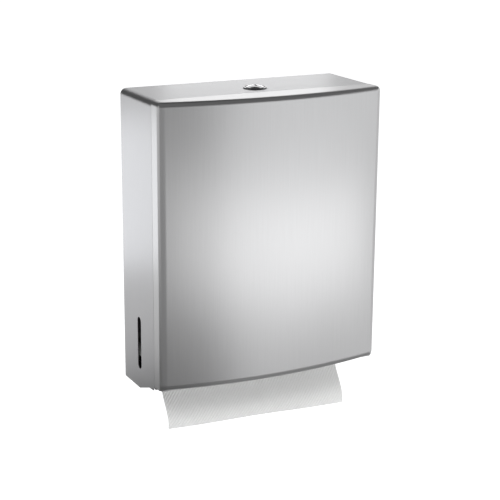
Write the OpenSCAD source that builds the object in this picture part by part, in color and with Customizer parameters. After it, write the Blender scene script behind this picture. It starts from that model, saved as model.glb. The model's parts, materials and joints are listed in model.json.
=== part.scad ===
// Wall-hung folded paper towel dispenser: a sheet steel cabinet, a bowed door hinged
// along its lower edge, a cam lock in the top, and folded towels drawn from the bottom.
// X runs to the right, the front faces -Y, Z is up. The origin is the middle of the
// four wall holes, on the plane of the wall. Each module below is drawn with its
// heights counted from the door's lower edge, and placed() takes it to the origin.

/* [Overall] */
// Width across the two sides
body_w = 288; // [250:1:340]
// Height from the door's lower edge to the top
body_h = 340; // [300:1:420]
// Depth of the cabinet, from the wall to the seam
cabinet_d = 92; // [88:1:120]
// Depth of the door's sides, from the seam to the front edges
door_side_d = 21; // [18:1:30]
// How far the middle of the door stands ahead of its side edges
bow = 17; // [8:1:25]
// Outside radius of the bends in the sheet
bend_r = 5.5; // [3:0.5:7]
// Running gap at the seam between the cabinet and the door
seam_gap = 0.4; // [0.3:0.1:1]

/* [Cabinet] */
// Thickness of the cabinet's sheet
cabinet_t = 1; // [0.8:0.1:1.5]
// Width of the lip turned in along the cabinet's front edge
cabinet_lip = 8; // [5:0.5:9]
// How far the skirts reach below the door at the wall
skirt_drop = 17; // [12:1:24]
// How far from the wall the skirts stay level
skirt_level_d = 47; // [40:1:55]
// Distance from the wall at which the skirts reach the hinge cover
cover_rear_d = 76; // [70:1:80]
// Drop of the hinge cover at its rear
cover_rear_drop = 6.7; // [6:0.1:8]
// Drop of the hinge cover at its front, just under the hinge
cover_front_drop = 5.8; // [5.6:0.1:8]

/* [Refill slots] */
// Width of the slot in each side
slot_w = 10.5; // [6:0.5:12]
// Height of the slot's lower end
slot_low = 8; // [2:0.5:12]
// Height of the slot's upper end
slot_high = 73; // [50:1:120]
// Distance of the slot's middle from the wall
slot_d = 47.5; // [30:0.5:60]

/* [Back panel] */
// Thickness of the back panel
back_t = 1; // [0.8:0.1:1.5]
// Width of the back panel's flanges
back_flange = 12; // [8:1:18]
// How far the flanges stop short of the cabinet's top corners
back_corner = 9; // [8:1:20]
// Radius of the wall holes
wall_hole_r = 3.25; // [2.5:0.25:4]
// Distance between the wall holes, left to right
wall_hole_w = 200; // [160:5:220]
// Distance between the wall holes, up and down
wall_hole_h = 240; // [200:5:250]
// Height of the lower wall holes above the door's lower edge
wall_hole_low = 50; // [40:1:60]

/* [Towel tray] */
// Thickness of the tray's sheet
tray_t = 1; // [0.8:0.1:1.5]
// Height of the tray's upstand against the back panel
tray_back_h = 15; // [10:1:25]
// Height of the tray's front upstand
tray_front_h = 10; // [6:1:16]
// Depth of the tray's side flanges, turned down
tray_side_h = 5; // [4:0.5:6]
// Distance of the tray's front edge behind the hinge axis
tray_setback = 3.4; // [3.2:0.1:5]
// Width of the outlet
outlet_w = 252; // [240:1:256]
// Distance of the outlet's rear edge from the wall
outlet_rear_d = 40; // [34:1:46]
// Distance of the outlet's front edge from the wall
outlet_front_d = 72; // [68:1:74]
// Depth of the lip at the outlet's rear edge
outlet_rear_lip = 13; // [8:1:14]
// Depth of the lips at the outlet's front edge and ends
outlet_front_lip = 4; // [3:0.5:5]
// Radius of the rolled hem along the lips
hem_r = 1.4; // [1:0.1:2]

/* [Door] */
// Thickness of the door's sheet
door_t = 1.2; // [1:0.1:1.6]
// Width of the lip turned in along the door's rear edge
door_lip = 8; // [5:0.5:10]

/* [Hinge] */
// Outside radius of the hinge's knuckles
knuckle_r = 2.8; // [2.4:0.1:3.2]
// Radius of the hinge pin
pin_r = 1.25; // [1:0.05:1.4]
// Thickness of the hinge's leaves
leaf_t = 1; // [0.8:0.1:1.2]
// Width of the cabinet's leaf, from the hinge axis
cabinet_leaf = 14; // [12:0.5:14.5]
// Width of the door's leaf, from the hinge axis
door_leaf = 20; // [16:0.5:22]
// Number of knuckles in the hinge
knuckle_count = 11; // [7:2:15]
// Gap between one knuckle and the next
knuckle_gap = 0.5; // [0.3:0.1:1]
// Gap between the hinge and the cabinet's sides
hinge_end_gap = 1.5; // [1:0.5:4]
// Radius of the rivets' shanks
rivet_r = 1.5; // [1.2:0.1:2]
// Radius of the rivets' heads
rivet_head_r = 2.8; // [2.2:0.1:3]
// Height of the rivets' heads
rivet_head_h = 1.1; // [0.8:0.1:1.4]
// Number of rivets in each leaf
rivet_count = 5; // [3:1:7]

/* [Lock] */
// Distance of the lock's axis from the wall
lock_d = 64; // [60:1:66]
// Outside radius of the dished ring
ring_r = 14; // [13:0.5:16]
// Height of the ring's rim
ring_rim_h = 1.2; // [0.8:0.1:2]
// Thickness of the ring under the lock's head
ring_t = 0.5; // [0.4:0.1:0.7]
// Radius of the lock's head
head_r = 10.5; // [10:0.5:12]
// Thickness of the head at its rim
head_rim_h = 0.9; // [0.6:0.1:1.5]
// Height of the dome above the head's rim
dome_h = 2.3; // [1.5:0.1:3]
// Radius of the lock's barrel
barrel_r = 9; // [8.5:0.25:9.5]
// Half of the distance across the barrel's two flats
barrel_flat = 8.2; // [7.8:0.1:8.4]
// Length of the barrel below the cabinet's top
barrel_l = 20; // [19:0.5:22]
// Radius of the plug that the key turns
plug_r = 6; // [5.5:0.25:6.5]
// Width of the keyway
key_w = 2.4; // [2:0.1:3]
// Length of the keyway across the plug's face
key_l = 8.4; // [7:0.1:9]
// Number of wafers in the plug
wafer_count = 5; // [3:1:5]
// Thickness of a wafer
wafer_t = 1; // [0.8:0.1:1.1]
// Distance from one wafer to the next
wafer_pitch = 2.6; // [2.2:0.1:2.8]
// Width of the lock nut across its flats
nut_flats = 24; // [22:1:27]
// Thickness of the lock nut
nut_h = 4; // [3:0.5:5]
// Thickness of the washer under the nut
nut_washer_t = 1; // [0.8:0.1:1.5]
// Thickness of the cam
cam_t = 2; // [1.5:0.1:2.5]
// Width of the cam
cam_w = 11; // [9:0.5:12]
// Height of the cam's hook above the blade
hook_h = 12; // [9:0.5:13]
// Radius of the cam screw's shank
cam_screw_r = 2; // [1.5:0.1:2.2]
// Radius of the cam screw's head
cam_screw_head_r = 4.5; // [4:0.1:5]
// Height of the cam screw's head
cam_screw_head_h = 2.5; // [2:0.1:3]

/* [Keeper] */
// Distance of the keeper's tab from the wall
keeper_d = 96; // [95:0.5:98]
// Width of the keeper
keeper_w = 16; // [12:0.5:17]
// Thickness of the keeper
keeper_t = 1.2; // [1:0.1:1.6]
// Height of the keeper's tab
keeper_tab_h = 17; // [16:0.5:18]
// Length of the keeper's foot under the door's top
keeper_foot = 15; // [12:0.5:18]
// Gap between the keeper and the cam's hook when locked
keeper_gap = 1.3; // [1:0.1:2]

/* [Towels] */
// Width of a towel
towel_w = 242; // [220:1:246]
// Depth of a folded towel, which is a third of its length
towel_fold = 80; // [70:1:80]
// Height of the stack
stack_h = 150; // [20:5:220]
// Radius of the folds at the stack's front and back
stack_fold_r = 3; // [1:0.5:6]
// Thickness of the hanging towel's two soft layers
towel_t = 0.8; // [0.6:0.1:1.2]
// Distance from the wall at which the towel leaves the stack
towel_top_d = 56; // [52:0.5:60]
// How far the towel leans forward on its way down
towel_lean = 23; // [10:0.5:23]
// How far the towel hangs below the door's lower edge
towel_drop = 63.5; // [50:0.5:75]
// How far the towel's folds stand out at its lower edge
towel_wave = 1.3; // [0:0.1:2]

/* [Hidden] */
$fn = 96;

// Clearances and cuts
over = 3;
slip = 0.05;
seat_gap = 0.3;
rest_gap = 0.1;
rivet_slip = 0.05;

// Places that follow from the sizes above
hole_mid = wall_hole_low + wall_hole_h / 2;
inner_w = body_w - 2 * cabinet_t;
door_rear = cabinet_d + seam_gap;
door_edge = cabinet_d + door_side_d;
front_d = door_edge + bow;
bow_r = (pow(body_w / 2, 2) + pow(bow, 2)) / (2 * bow);
bow_centre = bow_r - front_d;

// Hinge: the leaves lie under the tray and the door, and the knuckles hang below them
hinge_d = cabinet_d - knuckle_r - 2 * seat_gap;
hinge_z = -knuckle_r;
hinge_w = inner_w - 2 * hinge_end_gap;
knuckle_pitch = hinge_w / knuckle_count;
bore_r = pin_r + slip;
rivet_hole_r = rivet_r + rivet_slip;
rivet_pitch = hinge_w / rivet_count;
cabinet_rivet_d = hinge_d - (cabinet_leaf + knuckle_r) / 2;
door_rivet_d = hinge_d + (door_leaf + knuckle_r) / 2;

// Towel tray and towels
tray_front = hinge_d - tray_setback;
stack_low = tray_t + seat_gap;
stack_rear = back_t + tray_t + seat_gap;
towel_top = tray_t;
towel_length_share = 1.5;
towel_wave_count = 1.5;
towel_columns = 32;
towel_rows = 16;

// Lock, from the head down
ring_hole_r = barrel_r + seat_gap;
trough_r = head_r + ring_t;
head_low = body_h + ring_t;
dome_r = (pow(head_r, 2) + pow(dome_h, 2)) / (2 * dome_h);
dome_centre = head_low + head_rim_h + dome_h - dome_r;
nut_top = body_h - cabinet_t - nut_washer_t;
barrel_low = body_h - barrel_l;
clip_t = 0.8;
clip_wall = 1.9;
groove_depth = 1.1;
collar_t = 1;
tail_w = 7;
clip_low = barrel_low - seat_gap - clip_t;
collar_low = clip_low - collar_t;
stop_t = 1;
stop_r = 7;
lug_w = 3;
tab_r = barrel_flat + rest_gap;
stop_turn = 90;
lug_turn = 2 * asin((lug_w + seat_gap) / 2 / stop_r);
cam_top = collar_low - stop_t;
cam_low = cam_top - cam_t;
cam_heel = 8;
cam_reach = keeper_d + keeper_t + keeper_gap - lock_d;
cam_washer_t = 1;
cam_washer_r = 5;
cam_screw_l = 6;
key_floor_up = 2;
key_floor = barrel_low + key_floor_up;
wafer_w = 5;
wafer_l = 10.8;
wafer_window_w = 2.8;
wafer_window_l = 7;
wafer_low = key_floor + wafer_t;

// Takes a piece from the door's lower edge to the middle of the wall holes
module placed()
  translate([0, 0, -hole_mid]) children();

// Extrudes an outline drawn in X and Z towards the front, from a distance off the wall
module forward(from, to)
  translate([0, -from, 0]) rotate([90, 0, 0]) linear_extrude(height = to - from) children();

// Extrudes an outline drawn in Y and Z across the width, about the middle
module across(w)
  translate([-w / 2, 0, 0]) rotate([90, 0, 90]) linear_extrude(height = w) children();

// Rectangle in Y and Z between two distances off the wall and two heights
module strip(from, to, low, high)
  translate([-to, low]) square([to - from, high - low]);

// Cylinder along X about the middle, at a distance off the wall
module rod(d, z, r, w)
  translate([-w / 2, -d, z]) rotate([0, 90, 0]) cylinder(r = r, h = w);

// Cylinder along Z on the lock's axis
module on_lock(r, low, high)
  translate([0, -lock_d, low]) cylinder(r = r, h = high - low);

// Front view of the box: flat sides, flat top and two rounded top corners
module front_outline(inset, low) {
  w = body_w - 2 * inset;
  r = max(bend_r - inset, seat_gap);
  top = body_h - inset;
  translate([-w / 2, low]) square([w, top - r - low]);
  translate([r - w / 2, low]) square([w - 2 * r, top - low]);
  for (side = [-1, 1]) translate([side * (w / 2 - r), top - r]) circle(r = r);
}

// Side view of the cabinet, whose lower edge drops to the skirts behind the hinge
module side_outline()
  polygon([[0, body_h + over], [-cabinet_d, body_h + over], [-cabinet_d, 0],
           [-hinge_d, -cover_front_drop], [-cover_rear_d, -cover_rear_drop],
           [-skirt_level_d, -skirt_drop], [0, -skirt_drop]]);

// Slot with round ends through both sides
module refill_slots() {
  r = slot_w / 2;
  across(body_w + over) strip(slot_d - r, slot_d + r, slot_low + r, slot_high - r);
  for (z = [slot_low + r, slot_high - r]) rod(slot_d, z, r, body_w + over);
}

// Hole for the lock's barrel, flat on two sides
module lock_hole()
  intersection() {
    on_lock(ring_hole_r, body_h - cabinet_t - over, body_h + over);
    translate([-barrel_flat - seat_gap, -lock_d - over - barrel_r, 0])
      cube([2 * (barrel_flat + seat_gap), 2 * (barrel_r + over), body_h + 2 * over]);
  }

module cabinet_wrap()
  placed() color("silver") difference() {
    intersection() {
      forward(0, cabinet_d) front_outline(0, -skirt_drop);
      across(body_w) side_outline();
    }
    forward(-over, cabinet_d - cabinet_t) front_outline(cabinet_t, -skirt_drop - over);
    forward(0, cabinet_d + over) front_outline(cabinet_t + cabinet_lip, -skirt_drop - over);
    across(inner_w) strip(cabinet_d - cabinet_t - over, cabinet_d + over, -skirt_drop, seat_gap);
    refill_slots();
    lock_hole();
  }

module back_panel() {
  flange_low = tray_back_h + over;
  flange_high = body_h - cabinet_t - back_corner;
  half = inner_w / 2;
  top = body_h - cabinet_t;
  placed() color("lightgrey") difference() {
    union() {
      forward(0, back_t)
        polygon([[-half, -skirt_drop], [half, -skirt_drop], [half, top - bend_r],
                 [half - bend_r, top], [bend_r - half, top], [-half, top - bend_r]]);
      for (side = [0, 1]) mirror([side, 0, 0])
        translate([half - back_t, -back_flange, flange_low])
          cube([back_t, back_flange, flange_high - flange_low]);
      translate([back_corner - half, -back_flange, top - back_t])
        cube([2 * (half - back_corner), back_flange, back_t]);
    }
    for (x = [-1, 1], z = [0, 1])
      translate([x * wall_hole_w / 2, over, wall_hole_low + z * wall_hole_h])
        rotate([90, 0, 0]) cylinder(r = wall_hole_r, h = back_t + 2 * over);
  }
}

// Rivet places along a leaf, at a distance off the wall
module rivet_row(d)
  for (i = [0 : rivet_count - 1])
    translate([(i + 0.5) * rivet_pitch - hinge_w / 2, -d, 0]) children();

// One lip of the outlet, with its rolled hem
module outlet_lip(d, depth) {
  across(outlet_w + 2 * tray_t) strip(d - tray_t / 2, d + tray_t / 2, -depth, tray_t);
  rod(d, -depth, hem_r, outlet_w + 2 * tray_t);
}

module towel_tray()
  placed() color("lightgrey") difference() {
    union() {
      difference() {
        union() {
          across(inner_w) strip(back_t, tray_front, 0, tray_t);
          across(inner_w) strip(back_t, back_t + tray_t, 0, tray_back_h);
          across(inner_w) strip(tray_front - tray_t, tray_front, 0, tray_front_h);
          for (side = [0, 1]) mirror([side, 0, 0])
            translate([inner_w / 2 - tray_t, -cover_rear_d, -tray_side_h])
              cube([tray_t, cover_rear_d - back_t, tray_side_h + tray_t]);
        }
        across(outlet_w) strip(outlet_rear_d, outlet_front_d, -over, tray_t + over);
      }
      outlet_lip(outlet_rear_d - tray_t / 2, outlet_rear_lip);
      outlet_lip(outlet_front_d + tray_t / 2, outlet_front_lip);
      for (side = [0, 1]) mirror([side, 0, 0])
        translate([outlet_w / 2, -outlet_front_d - tray_t / 2, -outlet_front_lip])
          cube([tray_t, outlet_front_d - outlet_rear_d + tray_t, outlet_front_lip + tray_t]);
    }
    rivet_row(cabinet_rivet_d) translate([0, 0, -over]) cylinder(r = rivet_hole_r, h = tray_t + 2 * over);
  }

// A leaf with every other knuckle, notched round the other leaf's knuckles
module hinge_leaf(first, from, to, rivet_d)
  difference() {
    union() {
      across(hinge_w) strip(from, to, -leaf_t, 0);
      for (i = [first : 2 : knuckle_count - 1])
        translate([i * knuckle_pitch - hinge_w / 2 + knuckle_gap / 2, -hinge_d, hinge_z])
          rotate([0, 90, 0]) cylinder(r = knuckle_r, h = knuckle_pitch - knuckle_gap);
    }
    for (i = [1 - first : 2 : knuckle_count - 1])
      translate([i * knuckle_pitch - hinge_w / 2 - knuckle_gap / 2, -hinge_d - knuckle_r - seat_gap,
                 hinge_z - knuckle_r - over])
        cube([knuckle_pitch + knuckle_gap, 2 * (knuckle_r + seat_gap), 2 * (knuckle_r + over)]);
    rod(hinge_d, hinge_z, bore_r, hinge_w + 2 * over);
    rivet_row(rivet_d) translate([0, 0, -leaf_t - over]) cylinder(r = rivet_hole_r, h = leaf_t + 2 * over);
  }

module hinge_cabinet_leaf()
  placed() color("silver") hinge_leaf(0, hinge_d - cabinet_leaf, hinge_d, cabinet_rivet_d);

module hinge_door_leaf()
  placed() color("silver") hinge_leaf(1, hinge_d, hinge_d + door_leaf, door_rivet_d);

module hinge_pin()
  placed() color("grey") rod(hinge_d, hinge_z, pin_r, hinge_w);

// Rivet with its head under the leaf and its shank through the leaf and the sheet above
module rivet(sheet_t) {
  translate([0, 0, -leaf_t - rivet_head_h]) cylinder(r1 = rivet_r, r2 = rivet_head_r, h = rivet_head_h);
  translate([0, 0, -leaf_t]) cylinder(r = rivet_r, h = leaf_t + sheet_t);
}

// The tails are set flush with the tray, so that the towels slide over them
module hinge_cabinet_rivets()
  placed() color("grey") rivet_row(cabinet_rivet_d) rivet(tray_t);

// The tails are closed over the door's sheet
module hinge_door_rivets()
  placed() color("grey") rivet_row(door_rivet_d) {
    rivet(door_t);
    translate([0, 0, door_t]) cylinder(r1 = rivet_head_r, r2 = rivet_r, h = rivet_head_h);
  }

// Bowed front turned about the bow's centre, with rounded top and bottom edges
module bowed_block(inset) {
  r = bend_r - inset;
  reach = 2 * asin(body_w / 2 / bow_centre);
  front = bow_r - inset;
  rear = bow_r - front_d / 2;
  translate([0, bow_centre, 0]) rotate([0, 0, -90 - reach / 2]) rotate_extrude(angle = reach) {
    translate([rear, inset + r]) square([front - rear, body_h - 2 * (inset + r)]);
    translate([rear, inset]) square([front - r - rear, body_h - 2 * inset]);
    for (z = [inset + r, body_h - inset - r]) translate([front - r, z]) circle(r = r);
  }
}

// What the bend between the front and a side takes off the corner
module corner_cut(inset) {
  r = bend_r - inset;
  side = body_w / 2 - inset;
  front = bow_r - inset;
  centre_y = bow_centre - sqrt(pow(front - r, 2) - pow(side - r, 2));
  touch_x = (side - r) * front / (front - r);
  difference() {
    translate([touch_x, centre_y - bend_r - over, -over])
      cube([bend_r + over, bend_r + over, body_h + 2 * over]);
    translate([side - r, centre_y, -2 * over]) cylinder(r = r, h = body_h + 4 * over);
  }
}

// Outer form of the door, or its inner form when it is inset by the sheet
module door_form(inset, rear)
  difference() {
    intersection() {
      bowed_block(inset);
      forward(rear, front_d + over) front_outline(inset, inset);
    }
    for (side = [0, 1]) mirror([side, 0, 0]) corner_cut(inset);
  }

module door_shell()
  placed() color("silver") difference() {
    door_form(0, door_rear);
    difference() {
      door_form(door_t, door_rear - over);
      difference() {
        forward(door_rear, door_rear + door_t) front_outline(0, door_t);
        forward(door_rear - over, door_rear + over) front_outline(door_t + door_lip, -over);
      }
    }
    rivet_row(door_rivet_d) translate([0, 0, -over]) cylinder(r = rivet_hole_r, h = door_t + 2 * over);
  }

// Bracket under the door's top, whose tab the cam hooks over
module door_keeper()
  placed() color("grey") {
    top = body_h - door_t;
    across(keeper_w) strip(keeper_d, keeper_d + keeper_t, top - keeper_tab_h, top);
    across(keeper_w) strip(keeper_d, keeper_d + keeper_foot, top - keeper_t, top);
  }

// Dished ring between the lock's head and the cabinet's top
module lock_ring()
  placed() color("white") translate([0, -lock_d, body_h]) rotate_extrude()
    polygon([[ring_hole_r, 0], [ring_r, 0], [ring_r, ring_rim_h - ring_t], [ring_r - ring_t, ring_rim_h],
             [ring_r - 2 * ring_t, ring_rim_h], [trough_r, ring_t], [ring_hole_r, ring_t]]);

// Domed head of the lock, which its plug shares
module lock_dome(r, low)
  intersection() {
    on_lock(r, low, body_h + ring_t + head_rim_h + dome_h + over);
    translate([0, -lock_d, dome_centre]) sphere(r = dome_r);
  }

// Barrel of the lock, with the two lugs that stop the cam at either end of its turn
module lock_housing()
  placed() color("white") {
    difference() {
      union() {
        lock_dome(head_r, head_low);
        intersection() {
          on_lock(barrel_r, barrel_low, head_low + head_rim_h / 2);
          translate([-barrel_flat, -lock_d - barrel_r, barrel_low])
            cube([2 * barrel_flat, 2 * barrel_r, barrel_l + over]);
        }
      }
      on_lock(plug_r + slip, barrel_low - over, body_h + 2 * over);
    }
    difference() {
      intersection() {
        on_lock(barrel_flat, cam_top + seat_gap, barrel_low + over);
        for (turn = [lug_turn, -stop_turn - lug_turn])
          translate([0, -lock_d, cam_top]) rotate([0, 0, turn])
            translate([0, -lug_w / 2, 0]) cube([barrel_r, lug_w, barrel_low - cam_top + over]);
      }
      on_lock(stop_r + seat_gap, cam_top - over, barrel_low + 2 * over);
    }
  }

module lock_nut_washer()
  placed() color("grey") difference() {
    on_lock(nut_flats / 2, nut_top, nut_top + nut_washer_t);
    on_lock(barrel_r + slip, nut_top - over, body_h);
  }

module lock_nut()
  placed() color("grey") difference() {
    translate([0, -lock_d, nut_top - nut_h]) cylinder(r = nut_flats / sqrt(3), h = nut_h, $fn = 6);
    on_lock(barrel_r + slip, nut_top - nut_h - over, nut_top + over);
  }

// Wafer places down the plug
module wafer_places()
  for (i = [0 : wafer_count - 1]) translate([0, -lock_d, wafer_low + i * wafer_pitch]) children();

module lock_plug()
  placed() color("white") difference() {
    union() {
      difference() {
        lock_dome(plug_r, collar_low);
        difference() {
          on_lock(plug_r + over, clip_low - rest_gap, clip_low + clip_t + rest_gap);
          on_lock(plug_r - groove_depth, clip_low - over, clip_low + over);
        }
      }
      translate([-tail_w / 2, -lock_d - tail_w / 2, cam_low + rest_gap])
        cube([tail_w, tail_w, collar_low - cam_low - rest_gap + slip]);
    }
    translate([-key_w / 2, -lock_d - key_l / 2, key_floor]) cube([key_w, key_l, barrel_l + 2 * over]);
    wafer_places() translate([-wafer_w / 2 - rest_gap, -plug_r - over, -rest_gap])
      cube([wafer_w + 2 * rest_gap, 2 * (plug_r + over), wafer_t + 2 * rest_gap]);
    on_lock(cam_screw_r + slip, cam_low - over, cam_low + cam_screw_l);
  }

module lock_wafers()
  placed() color("goldenrod") wafer_places() difference() {
    translate([-wafer_w / 2, -wafer_l / 2, 0]) cube([wafer_w, wafer_l, wafer_t]);
    translate([-wafer_window_w / 2, -wafer_window_l / 2, -over])
      cube([wafer_window_w, wafer_window_l, wafer_t + 2 * over]);
  }

// Open spring clip in the plug's groove, which keeps the plug in the barrel
module plug_clip()
  placed() color("grey") difference() {
    on_lock(plug_r - groove_depth + clip_wall, clip_low, clip_low + clip_t);
    on_lock(plug_r - groove_depth + slip, clip_low - over, clip_low + over);
    translate([-lug_w / 2, -lock_d, clip_low - over]) cube([lug_w, barrel_r + over, 2 * over]);
  }

// Square hole over the plug's tail
module tail_hole(low, high)
  translate([-tail_w / 2 - slip, -lock_d - tail_w / 2 - slip, low])
    cube([tail_w + 2 * slip, tail_w + 2 * slip, high - low]);

// Washer on the tail, whose tab meets the barrel's lugs
module stop_washer()
  placed() color("grey") difference() {
    union() {
      on_lock(stop_r, cam_top, cam_top + stop_t);
      translate([0, -lock_d - lug_w / 2, cam_top]) cube([tab_r, lug_w, stop_t]);
    }
    tail_hole(cam_top - over, cam_top + over);
  }

// Blade that points sideways when unlocked, with a hook turned up at its end
module lock_cam()
  placed() color("grey") difference() {
    union() {
      on_lock(cam_heel, cam_low, cam_top);
      translate([0, -lock_d - cam_w / 2, cam_low]) cube([cam_reach + cam_t, cam_w, cam_t]);
      translate([cam_reach, -lock_d - cam_w / 2, cam_low]) cube([cam_t, cam_w, cam_t + hook_h]);
    }
    tail_hole(cam_low - over, cam_top + over);
  }

module cam_washer()
  placed() color("grey") difference() {
    on_lock(cam_washer_r, cam_low - cam_washer_t, cam_low);
    on_lock(cam_screw_r + rest_gap, cam_low - cam_washer_t - over, cam_low + over);
  }

module cam_screw()
  placed() color("grey") {
    head_top = cam_low - cam_washer_t;
    difference() {
      on_lock(cam_screw_head_r, head_top - cam_screw_head_h, head_top);
      for (turn = [0, 90]) translate([0, -lock_d, head_top - cam_screw_head_h]) rotate([0, 0, turn])
        cube([cam_screw_head_r, cam_screw_r / 2, cam_screw_head_h], center = true);
    }
    on_lock(cam_screw_r, head_top - slip, cam_low + cam_screw_l - rest_gap);
  }

// Stack of folded towels, with round folds along its front and back
module towel_stack()
  placed() color("whitesmoke") {
    front = stack_rear + towel_fold;
    high = stack_low + stack_h;
    across(towel_w) strip(stack_rear + stack_fold_r, front - stack_fold_r, stack_low, high);
    across(towel_w) strip(stack_rear, front, stack_low + stack_fold_r, high - stack_fold_r);
    for (d = [stack_rear + stack_fold_r, front - stack_fold_r],
         z = [stack_low + stack_fold_r, high - stack_fold_r]) rod(d, z, stack_fold_r, towel_w);
  }

// Point on the hanging towel, at a share of its width and of its fall, off its middle layer
function towel_point(across_share, fall_share, off) =
  let (eased = pow(fall_share, towel_length_share),
       lean = towel_lean * eased * eased * (3 - 2 * eased),
       wave = towel_wave * pow(fall_share, 2) * sin(360 * towel_wave_count * across_share))
  [(across_share - 0.5) * towel_w, off - towel_top_d - lean - wave,
   towel_top - (towel_top + towel_drop) * fall_share];

// One towel drawn through the outlet: two layers of points, joined round the edges
module hanging_towel() {
  across_n = towel_columns + 1;
  layer_n = across_n * (towel_rows + 1);
  points = [for (off = [-towel_t / 2, towel_t / 2], row = [0 : towel_rows], column = [0 : towel_columns])
              towel_point(column / towel_columns, row / towel_rows, off)];
  rim = concat([for (i = [0 : towel_columns - 1]) i],
               [for (i = [0 : towel_rows - 1]) i * across_n + towel_columns],
               [for (i = [0 : towel_columns - 1]) layer_n - 1 - i],
               [for (i = [0 : towel_rows - 1]) (towel_rows - i) * across_n]);
  faces = concat(
    [for (row = [0 : towel_rows - 1], column = [0 : towel_columns - 1], half = [0, 1])
       let (a = row * across_n + column, b = a + across_n + 1)
       half == 0 ? [a, a + 1, b] : [a, b, b - 1]],
    [for (row = [0 : towel_rows - 1], column = [0 : towel_columns - 1], half = [0, 1])
       let (a = layer_n + row * across_n + column, b = a + across_n + 1)
       half == 0 ? [a, b, a + 1] : [a, b - 1, b]],
    [for (i = [0 : len(rim) - 1], half = [0, 1])
       let (a = rim[i], b = rim[(i + 1) % len(rim)])
       half == 0 ? [b, a, a + layer_n] : [b, a + layer_n, b + layer_n]]);
  placed() color("whitesmoke") polyhedron(points = points, faces = faces);
}

cabinet_wrap();
back_panel();
towel_tray();
hinge_cabinet_leaf();
hinge_cabinet_rivets();
hinge_pin();
lock_ring();
lock_housing();
lock_nut_washer();
lock_nut();
door_shell();
hinge_door_leaf();
hinge_door_rivets();
door_keeper();
lock_plug();
lock_wafers();
plug_clip();
stop_washer();
lock_cam();
cam_washer();
cam_screw();
towel_stack();
hanging_towel();
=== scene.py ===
# %% [markdown]
# # A wall-hung towel dispenser in satin steel
# The object is a folded-steel cabinet that hangs on a wall. Its bowed door is hinged along the foot
# and swings down, a cam lock in the top holds it shut, and one paper towel hangs from the outlet
# below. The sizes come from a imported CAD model, which is loaded first and never moved. Blender adds
# the finishes, and makes again the few pieces that need a smoother skin or a softer form than CAD
# gives them.

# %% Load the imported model
import json
import math

import bmesh
import bpy
from mathutils import Matrix, Vector


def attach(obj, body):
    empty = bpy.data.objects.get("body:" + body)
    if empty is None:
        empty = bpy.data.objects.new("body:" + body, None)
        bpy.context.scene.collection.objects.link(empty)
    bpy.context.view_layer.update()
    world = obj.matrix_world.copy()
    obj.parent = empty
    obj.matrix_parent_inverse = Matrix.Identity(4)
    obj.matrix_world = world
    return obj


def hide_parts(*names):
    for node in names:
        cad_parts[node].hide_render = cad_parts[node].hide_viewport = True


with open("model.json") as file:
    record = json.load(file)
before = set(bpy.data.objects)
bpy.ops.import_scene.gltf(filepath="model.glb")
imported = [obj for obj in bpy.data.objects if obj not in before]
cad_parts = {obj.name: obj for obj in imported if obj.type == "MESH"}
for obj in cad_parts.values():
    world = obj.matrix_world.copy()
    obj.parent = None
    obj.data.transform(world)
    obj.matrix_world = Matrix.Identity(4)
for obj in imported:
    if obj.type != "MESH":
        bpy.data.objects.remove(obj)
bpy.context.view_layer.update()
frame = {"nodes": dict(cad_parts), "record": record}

# %% [markdown]
# ## Sizes shared by several pieces
# The shop drawings count heights from the door's lower edge and depths from the wall. Blender works
# in metres, with the origin at the middle of the four wall holes. One helper takes a point from the
# drawing to Blender, so that every later number can be read straight off the drawing.

# %% Drawing sizes in millimetres, and the way from the drawing to Blender
BODY_W, BODY_H = 288.0, 340.0
CABINET_D, DOOR_REAR, DOOR_EDGE, DOOR_FRONT = 92.0, 92.4, 113.0, 130.0
FOOT_BELOW_ORIGIN = 170.0
scene = bpy.context.scene


def place(x, depth, height):
    """A point of the drawing, in millimetres, as a Blender point in metres."""
    return Vector((x / 1000, -depth / 1000, (height - FOOT_BELOW_ORIGIN) / 1000))


def new_object(name, data):
    """Puts an object with this mesh, lamp or camera in the scene."""
    made = bpy.data.objects.new(name, data)
    scene.collection.objects.link(made)
    return made


print("the drawing's zero lies at", [round(c, 3) for c in place(0, 0, 0)], "m")

# %% [markdown]
# ## Camera
# The photograph looks down on the dispenser from the front left. A camera fitted to the corners of
# the cabinet, the seam and the towel gives a short telephoto view from 1.7 m away. Its place and
# direction are set as one matrix, which needs no constraint and leaves nothing to work out when the
# file is opened.

# %% Camera at the photograph's view
EYE = Vector((-0.7387, -1.5116, 0.4338))
TOWARDS_EYE = Vector((-0.43484, -0.85812, 0.27301)).normalized()
ROLL = math.radians(0.3965)
LENS_MM, SENSOR_MM = 100.52, 36.0
level_right = Vector((0, 0, 1)).cross(TOWARDS_EYE).normalized()
level_up = TOWARDS_EYE.cross(level_right)
right = level_right * math.cos(ROLL) + level_up * math.sin(ROLL)
up = level_up * math.cos(ROLL) - level_right * math.sin(ROLL)

camera = new_object("camera", bpy.data.cameras.new("camera"))
camera.data.sensor_width = SENSOR_MM
camera.data.lens = LENS_MM
turned = Matrix((right, up, TOWARDS_EYE)).transposed().to_4x4()
camera.matrix_world = Matrix.Translation(EYE) @ turned
bpy.context.scene.camera = camera
print("camera", round(EYE.length, 2), "m from the wall holes")

# %% [markdown]
# ## Studio
# Satin steel shows its surroundings more than its own colour, so the room is built before the
# object. The room itself is an even pale light. What the camera sees behind the object is plain
# white, and polished metal sees that white too: the Light Path node tells those rays from the ones
# that only carry light.

# %% Colour management and the room's light
scene.view_settings.view_transform = "Standard"
ROOM_TINT, ROOM_LIGHT = (0.98, 0.99, 1.0, 1), 0.63


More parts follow.
